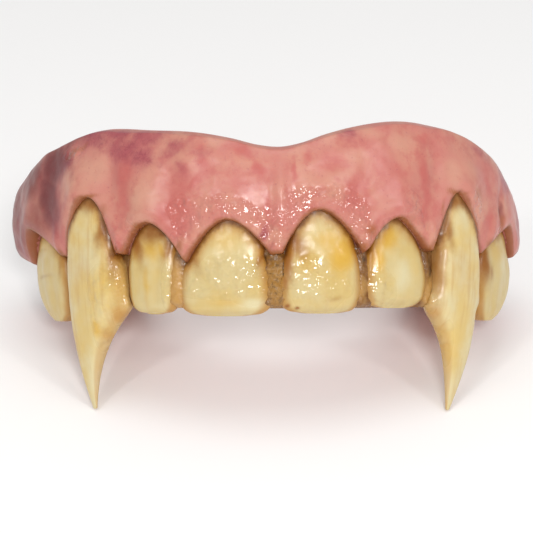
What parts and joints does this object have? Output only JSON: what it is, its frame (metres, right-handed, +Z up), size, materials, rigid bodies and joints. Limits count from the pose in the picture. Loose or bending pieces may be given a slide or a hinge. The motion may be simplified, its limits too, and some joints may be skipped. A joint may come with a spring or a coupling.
{
  "type": "vampire fang denture",
  "caption": "Slip-on costume denture: a gum-coloured acrylic horseshoe with a stained tooth bed, ivory incisors and premolars and long fangs, open behind for the wearer's teeth.",
  "frame": {"origin": "middle of the bottom of the bounding box, on the surface the denture rests on", "axes": "+X to the right as seen from in front, +Y from the fronts of the teeth back into the mouth, +Z up, with the denture at rest on its fang tips and heels"},
  "size_m": [0.0612, 0.0308, 0.0316],
  "materials": {
    "gum_acrylic": "glossy pink denture acrylic with rose, mauve and purple-brown tinting",
    "stained_acrylic": "glossy brown-stained acrylic, nearly black in the cracks",
    "fang_acrylic": "glossy ivory acrylic, tan at the root, with fine vertical grain",
    "incisor_acrylic": "glossy ivory acrylic with yellow-brown staining at the neck"
  },
  "bodies": {
    "root": {"gum_base": "gum_acrylic", "tooth_bed": "stained_acrylic", "left_premolar": "incisor_acrylic", "left_fang": "fang_acrylic", "left_lateral_incisor": "incisor_acrylic", "left_central_incisor": "incisor_acrylic", "right_central_incisor": "incisor_acrylic", "right_lateral_incisor": "incisor_acrylic", "right_fang": "fang_acrylic", "right_premolar": "incisor_acrylic"}
  },
  "joints": []
}
